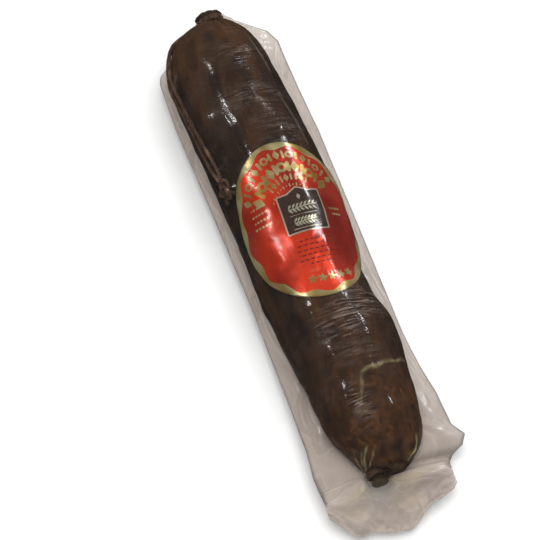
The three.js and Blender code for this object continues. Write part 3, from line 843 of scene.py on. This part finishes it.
def string_meshes():
    meshes = []
    for strand in STRANDS:
        start = Vector((NECK_X - 1.7 * MM, *axis(0.0)))
        route = [start + outward(strand[0][1]) * HEAD_TURNS_RADIUS]
        for share, degrees in (*strand, KNOT):
            route.append(on_surface(casing_tree, share * BODY, degrees, TWINE + 0.05 * MM))
        meshes += twine(route)
    middle = on_surface(casing_tree, KNOT[0] * BODY, KNOT[1], 2.0 * MM)
    out = outward(KNOT[1])
    meshes += twine(overhand_knot(middle, out, 5.4 * MM, 1.1 * MM), TWINE * 1.05)
    for past, degrees, further, last_degrees in ((0.012, 145, 0.018, 142), (0.014, 157, 0.024, 159)):
        near = on_surface(casing_tree, (KNOT[0] + past) * BODY, degrees, 0.9 * MM)
        far = on_surface(casing_tree, (KNOT[0] + further) * BODY, last_degrees, 0.7 * MM)
        meshes += twine([middle, near, far])
    meshes += twine(turns_round(-1.7 * MM, HEAD_TURNS_RADIUS, 2, TURN_PITCH))
    return meshes


strings = merged(string_meshes(), "hanging_string")
add_piece("hanging_string_twine", strings, smoked_twine(), "twine", "hanging_string")
tie = merged(twine(turns_round(BODY + 1.4 * MM, TAIL_TURNS_RADIUS, 2, TURN_PITCH)), "tail_tie")
add_piece("tail_tie_twine", tie, bpy.data.materials["smoked_twine"], "twine", "tail_tie")


# ---- The pouch ---------------------------------------------------------------------------------------
SEAM = -22.5  # degrees round the casing where the two webs meet
STEP, COLUMNS = 1.05 * MM, 120  # of the film over the body
FLANGE_STEPS = 9
HEAD_DROOP, DROOP = 1 * MM, 5.5 * MM  # how far the flanges hang below the seam
FILM_REST = TABLE_Z + 1.2 * MM  # flanges and skirt stay above this
SMOOTHING, PULL = 60, 0.006 * MM
HEAD_TIP, TAIL_TIP = -7.2 * MM, BODY + 5 * MM
POUCH_START = HEAD_TIP - 2 * MM
TAIL_BAND = 5.4 * MM  # the least radius of the film, over the tail's tie
FILM_GAP = 0.12 * MM
SKIRT, SKIRT_ROWS, SKIRT_END_HEIGHT = 26 * MM, 28, 5 * MM
SKIRT_PLUS, SKIRT_MINUS = 33.5 * MM + MODEL_Y, -32.8 * MM + MODEL_Y  # its two sides
# The flanges' edges at +Y and -Y: a place along the body, then a place across, in millimetres.
EDGES = (
    (
        (-9.2, 7), (0, 15), (8, 29), (14, 33), (45, 34), (71, 35.5), (175, 36.2), (196, 36.5), (214, 38),
        (231, 40.7), (250, 41.5), (257, 46.3), (262, 43), (264, 37), (269, 33.5),
    ),
    (
        (-9.2, -4), (0, -8), (4, -18), (9, -26), (14, -33.2), (18, -35), (46, -35.4), (99, -33.4),
        (157, -31.8), (210, -31.6), (240, -32), (255, -33.6), (269, -32.8),
    ),
)
# How far the skirt reaches at each place across in millimetres, as a share of its whole length.
SKIRT_ENDS = (
    (-32.8, 0.3), (-23.5, 0.75), (-19.3, 0.82), (-14, 0.78), (-3.6, 0.92), (5.3, 0.95), (17.6, 0.64),
    (22, 0.6), (31, 0.5), (33.5, 0.4),
)


def stations():
    """Places along the body at even steps along the film's own length."""
    fine = np.arange(POUCH_START, TAIL_TIP, 0.05 * MM)
    radius = np.maximum(line(FULLNESS, np.clip(fine / BODY, 0, 1)), 0.22) * HALF_WIDTH
    travelled = np.concatenate([[0], np.cumsum(np.hypot(np.diff(fine), np.diff(radius)))])
    count = int(travelled[-1] / STEP)
    return np.interp(np.linspace(0, travelled[-1], count + 1), travelled, fine)


def contents_radius(tree, x, degrees):
    """How far the pouch's contents reach from the axis."""
    y, z = axis(x)
    middle, out = Vector((NECK_X + x, y, z)), outward(degrees)
    hit, _, _, distance = tree.ray_cast(middle + out * 0.06, -out, 0.0599)
    return 0.06 - distance if hit is not None else 0.0


def taut(inner, passes, pull):
    """A film pulled tight over what it covers: never under it, and bridging what is narrow."""
    film = inner.copy()
    for _ in range(passes):
        mean = film.copy()
        mean[1:-1, 1:-1] = (film[:-2, 1:-1] + film[2:, 1:-1] + film[1:-1, :-2] + film[1:-1, 2:]) / 4
        film = np.maximum(inner, mean - pull)
    return film


# Creases of the film over the body: from and to, each a place along the body in millimetres and an angle
# round it, then height and half width in millimetres, how milky and how yellow each is.
CREASES = (
    (219.5, 24, 221, 56, 0.4, 0.7, 0.3, 0.9), (221, 56, 223, 90, 0.5, 0.8, 0.4, 0.9),
    (223, 90, 237, 103, 0.3, 0.8, 0.2, 0.6), (258, 34, 266, 20, 0.5, 0.8, 0.6, 1.0),
    (256, 128, 265, 168, 0.5, 0.7, 0.45, 0.8), (259, 118, 266, 150, 0.4, 0.6, 0.4, 0.7),
    (257, 144, 266, 176, 0.5, 0.6, 0.4, 0.8), (255, 160, 265, 184, 0.4, 0.7, 0.5, 0.9),
    (36, 156, 39, 182, 0.5, 0.9, 0.2, 0.1), (30, 150, 35, 158, 0.4, 0.7, 0.15, 0.0),
    (60, 40, 92, 34, 0.4, 0.7, 0.22, 0.1), (20, 44, 46, 38, 0.4, 0.7, 0.2, 0.1),
)


# Patches of fine wrinkle lines in the film, bumped and painted pale as highlights: the middle along the body in
# millimetres, how much it slants with the angle round it, that angle, the half sizes and how marked the lines are.
LINED = (
    (187, 0.16, 58, 9, 52, 1.0), (200, 0.1, 92, 5, 30, 0.7), (60, 0, 78, 8, 36, 0.45), (32, 0, 74, 4, 26, 0.6),
    (84, 0, 62, 9, 28, 0.4), (236, 0, 106, 9, 13, 1.0), (212, 0, 100, 6, 26, 0.35), (172, 0, 20, 10, 20, 0.5),
)


def crease_maps(x, arc):
    """Height, milkiness and yellowness of the creases at each place of the web."""
    height, milky, yellow = (np.zeros_like(x) for _ in range(3))
    for x0, a0, x1, a1, high, half, milk, fat in CREASES:
        start = np.array([x0 * MM, math.radians(a0) * HALF_WIDTH])
        end = np.array([x1 * MM, math.radians(a1) * HALF_WIDTH])
        d = end - start
        t = np.clip(((x - start[0]) * d[0] + (arc - start[1]) * d[1]) / (d @ d), 0, 1)
        wiggle = 0.5 * MM * np.sin(t * 9 + x0)
        gap = np.hypot(x - start[0] - t * d[0] + wiggle, arc - start[1] - t * d[1] + wiggle)
        fading = 0.35 + 0.65 * np.sin(math.pi * np.clip(t, 0.06, 0.94))
        marked = np.exp(-((gap / (half * MM)) ** 2)) * fading
        height = np.maximum(height, marked * high * MM)
        milky = np.maximum(milky, marked * milk)
        yellow = np.maximum(yellow, np.exp(-((gap / (half * 2.2 * MM)) ** 2)) * fat)
    return height, milky, yellow


def lined_map(x, degrees, arc):
    """How lined the film is at each place of the web: where the wrinkle lines get their bump and their painted
    highlight.
    """
    lined = 0.35 * (flat_noise(x, arc, 9 * MM, 1.5) * 0.5 + 0.5) ** 3
    for along_mm, slant, middle_deg, half_long, half_deg, strong in LINED:
        centre = (along_mm + slant * (degrees - middle_deg)) * MM
        patch = ((x - centre) / (half_long * MM)) ** 2 + ((degrees - middle_deg) / half_deg) ** 2
        lined = np.maximum(lined, strong * np.exp(-patch))
    return lined


def flat_noise(x, y, scale, seed):
    """Smooth noise from -1 to 1 over arrays of places."""
    return np.array([
        noise.noise(Vector((a / scale, b / scale, seed))) for a, b in zip(x.ravel(), y.ravel())
    ]).reshape(x.shape)


def flange(xs, root, side, above):
    """The flat edge of one web beside the body, from its rim in to the seam's root."""
    shares = np.linspace(1, 0, FLANGE_STEPS, endpoint=False)
    edge = line(EDGES[0] if side > 0 else EDGES[1], xs / MM) * MM + MODEL_Y
    reach = np.maximum(side * (edge - root[:, 1]), 1 * MM)
    drop = HEAD_DROOP + (DROOP - HEAD_DROOP) * ease(0, 14 * MM, xs)
    across = root[:, 1][:, None] + side * reach[:, None] * shares[None]
    down = root[:, 2][:, None] - drop[:, None] * shares[None] ** 2
    long = np.repeat(xs[:, None], FLANGE_STEPS, 1)
    ripple = flat_noise(long, across, 13 * MM, 3.0) * 0.7 * MM + flat_noise(long, across, 5 * MM, 6.0) * 0.25 * MM
    ripple = ripple * np.sin(math.pi * np.clip(shares, 0, 0.75))[None]
    middle = (1 - shares) * 0.15 * MM
    down = np.maximum(down + ripple, FILM_REST) + above * middle[None]
    return np.stack([NECK_X + long, across, down], 2)


def skirt_points(share, flat_y, crumple):
    """The skirt's surface at a share of its length, in the body's own x and frame y."""
    own_y = flat_y - MODEL_Y
    reach = share * line(SKIRT_ENDS, own_y / MM)
    y, z = axis(TAIL_TIP)
    aside = np.maximum(np.abs(flat_y - y) - TAIL_BAND, 0)
    side = np.where(flat_y > y, SKIRT_PLUS - y, y - SKIRT_MINUS) - TAIL_BAND
    root = z - TAIL_BAND * math.sin(math.radians(-SEAM))
    high = root + (SKIRT_END_HEIGHT - root) * reach * (2 - reach)
    low = root - DROOP + (SKIRT_END_HEIGHT - root + DROOP) * reach
    return TAIL_TIP + reach * SKIRT, high + (low - high) * (aside / side) ** 2 + crumple * share


def skirt(last, last_haze, above):
    """The skirt past the tail, which fans out from the film round the neck: rows of points, with how milky
    and yellow each is."""
    rows, hazes, fats = [], [], []
    y_tail = float(axis(TAIL_TIP)[0])
    count = len(last)
    flat = np.linspace(SKIRT_PLUS, SKIRT_MINUS, count)
    from_side = np.minimum(np.arange(count), np.arange(count)[::-1]) / FLANGE_STEPS
    for share in np.linspace(0, 1, SKIRT_ROWS + 1)[1:]:
        settle = ease(0, 0.5, share)
        flat_y = last[:, 1] * (1 - settle) + flat * settle
        raw_x = np.full(count, TAIL_TIP + share * SKIRT)
        crumple = (
            flat_noise(raw_x, flat_y, 10 * MM, 11.0 + above * 0.6) * 2.4
            - np.abs(flat_noise(raw_x, flat_y, 7 * MM, 17.0 + above)) * 3.2
            - np.abs(flat_noise(raw_x, flat_y, 3.6 * MM, 31.0 + above)) * 1.2 + 1.2
        ) * MM
        x, height = skirt_points(share, flat_y, crumple)
        part_gap = above * 0.9 * MM * (1 - ease(0.85, 1.0, share)) * np.clip(from_side, 0, 1)
        held = ease(0.08, 0.5, share)
        z_now = last[:, 2] * (1 - held) + (np.maximum(height, FILM_REST) + part_gap) * held
        rows.append(np.stack([NECK_X + x, flat_y, z_now], 1))
        spot = flat_noise(raw_x, flat_y, 12 * MM, 21.0)
        off_knob = np.hypot(x - BODY - 5 * MM, (flat_y - y_tail) * 0.9)
        veil = ease(-0.1, 0.25, share) * (0.12 + 0.88 * ease(5 * MM, 10 * MM, off_knob))
        hazes.append(np.clip(0.56 + 0.12 * spot, 0, 1) * veil + last_haze * (1 - veil))
        by_end = 1 - ease(12 * MM, 26 * MM, np.abs(flat_y - y_tail - 4 * MM))
        fats.append(np.clip(0.34 * (1 - ease(0.0, 0.45, share)) * by_end + 0.2 * np.maximum(spot, 0), 0, 0.5))
    return np.array(rows), hazes, fats


def web(above, tree):
    """One web of the pouch as a grid of points, with how milky, yellow, lined and pulled each is."""
    xs = stations()
    degrees = SEAM + above * np.arange(COLUMNS + 1) / COLUMNS * (180 - above * 2 * SEAM)
    y, z = axis(xs)
    inner = np.array([[contents_radius(tree, x, a) for a in degrees] for x in xs])
    film = taut(np.maximum(inner, TAIL_BAND) + FILM_GAP, SMOOTHING, PULL)
    grid_x, grid_a = np.meshgrid(xs, degrees, indexing="ij")
    turn = np.radians(grid_a)
    arc = turn * HALF_WIDTH
    height, milky, yellow = crease_maps(grid_x, arc) if above > 0 else [np.zeros_like(film)] * 3
    film = film + height
    body = np.stack([NECK_X + grid_x, y[:, None] + film * np.cos(turn), z[:, None] + film * np.sin(turn)], 2)
    if above < 0:
        low = 1 - ease(TABLE_Z + 0.8 * MM, TABLE_Z + 3 * MM, body[:, :, 2])
        body[:, :, 2] -= 0.45 * MM * low

    def seam_root(column):
        return np.stack([NECK_X + xs, body[:, column, 1], z + film[:, column] * math.sin(math.radians(SEAM))], 1)

    plus = flange(xs, seam_root(0), 1, above)
    minus = flange(xs, seam_root(-1), -1, above)[:, ::-1]
    whole = np.concatenate([plus, body, minus], 1)

    def spread(values, flat_value):
        side = np.full((len(xs), FLANGE_STEPS), flat_value)
        return np.concatenate([side, values, side], 1)

    pulled = spread(np.zeros_like(film), 1.0) * (1 - ease(215 * MM, 250 * MM, xs))[:, None]
    haze, fat = spread(milky + 0.015, 0.6), spread(yellow, 0.0)
    lines = spread(lined_map(grid_x, grid_a, arc), 0.0)
    rows, hazes, fats = skirt(whole[-1], haze[-1], above)
    fading = np.linspace(1, 0, SKIRT_ROWS)[:, None] * pulled[-1]
    return np.concatenate([whole, rows], 0), {
        "haze": np.concatenate([haze, hazes], 0),
        "fat": np.concatenate([fat, fats], 0),
        "lines": np.concatenate([lines, np.zeros((SKIRT_ROWS, whole.shape[1]))], 0),
        "pulled": np.concatenate([pulled, fading], 0),
    }


def web_into(bm, above, tree, layers, flat_layer):
    """Adds one web to a bmesh, with its values and its own flat UV in metres."""
    points, maps = web(above, tree)
    rows, columns = points.shape[:2]
    made = bmesh.ops.create_grid(bm, x_segments=rows - 1, y_segments=columns - 1, size=1)
    verts = made["verts"]
    lengths = np.linalg.norm(np.diff(points, axis=1), axis=2)
    across = np.concatenate([np.zeros((rows, 1)), np.cumsum(lengths, 1)], 1)
    across -= across[:, [columns // 2]]
    steps = np.linalg.norm(np.diff(points[:, columns // 2], axis=0), axis=1)
    down = np.concatenate([[0], np.cumsum(steps)])
    flat = {}
    for v in verts:
        i = round((v.co.x + 1) / 2 * (rows - 1))
        j = round((v.co.y + 1) / 2 * (columns - 1))
        v.co = points[i, j]
        for name, layer in layers.items():
            v[layer] = float(maps[name][i, j])
        flat[v] = (down[i], across[i, j] + (0.4 if above < 0 else 0))
    faces = {face for v in verts for face in v.link_faces}
    for face in faces:
        for loop in face.loops:
            loop[flat_layer].uv = flat[loop.vert]
    middle = points[rows // 2, columns // 2]
    centre = min(faces, key=lambda face: (face.calc_center_median() - Vector(middle)).length)
    if centre.normal.z * above < 0:
        bmesh.ops.reverse_faces(bm, faces=list(faces))


def pouch_mesh(tree):
    """Both webs, joined along their rim into one closed bag."""
    bm = bmesh.new()
    layers = {name: bm.verts.layers.float.new(name) for name in ("haze", "fat", "lines", "pulled")}
    flat_layer = bm.loops.layers.uv.new("flat")
    for above in (1, -1):
        web_into(bm, above, tree, layers, flat_layer)
    rim = [v for v in bm.verts if v.is_boundary]
    bmesh.ops.remove_doubles(bm, verts=rim, dist=0.02 * MM)
    return to_mesh(bm, "pouch")


contents = tree_of(casing, label, strings, tie)
pouch = pouch_mesh(contents)
add_piece("pouch_film", pouch, pouch_film(), "film", "upper_film", "lower_film")
